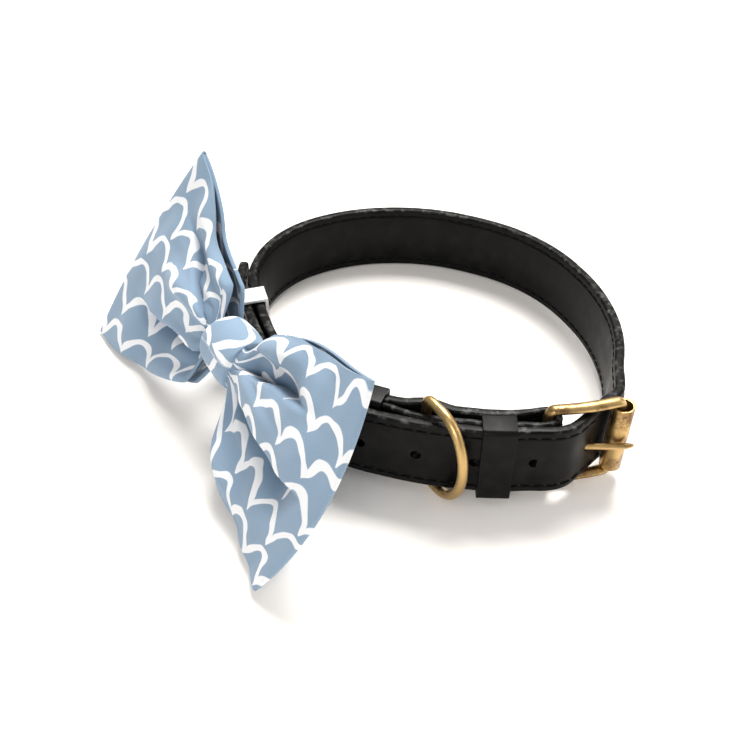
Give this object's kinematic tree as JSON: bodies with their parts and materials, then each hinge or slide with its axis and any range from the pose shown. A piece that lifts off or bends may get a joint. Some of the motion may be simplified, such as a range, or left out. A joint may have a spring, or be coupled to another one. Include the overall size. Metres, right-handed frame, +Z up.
{
  "type": "pet bow tie collar",
  "caption": "Stitched leather pet collar with a brass roller buckle, a lead ring and a printed cotton bow tie on elastic loops.",
  "frame": {"origin": "centre of the object's box in X and Y, on the surface that it stands on", "axes": "+Z up through the neck opening; the bow tie faces -Y and runs along X; the buckle is on the +X side"},
  "size_m": [0.1528, 0.153, 0.0708],
  "materials": {
    "leather": "smooth black leather, satin",
    "brass": "antique satin brass",
    "cotton": "plain woven cotton, printed",
    "elastic": "white woven elastic"
  },
  "bodies": {
    "collar": {"strap": "leather", "keeper_front": "leather", "keeper_rear": "leather", "buckle_frame": "brass", "roller": "brass", "prong": "brass", "bow_body": "cotton", "bow_knot": "cotton", "elastic_left": "elastic", "elastic_right": "elastic"},
    "ring": {"d_ring": "brass"}
  },
  "joints": [
    {"name": "ring_swing", "type": "hinge", "parent": "collar", "child": "ring", "pos_m": [0.04259, -0.01209, 0.0179], "axis": [0, 0, 1], "range_deg": [-94, 4]}
  ]
}
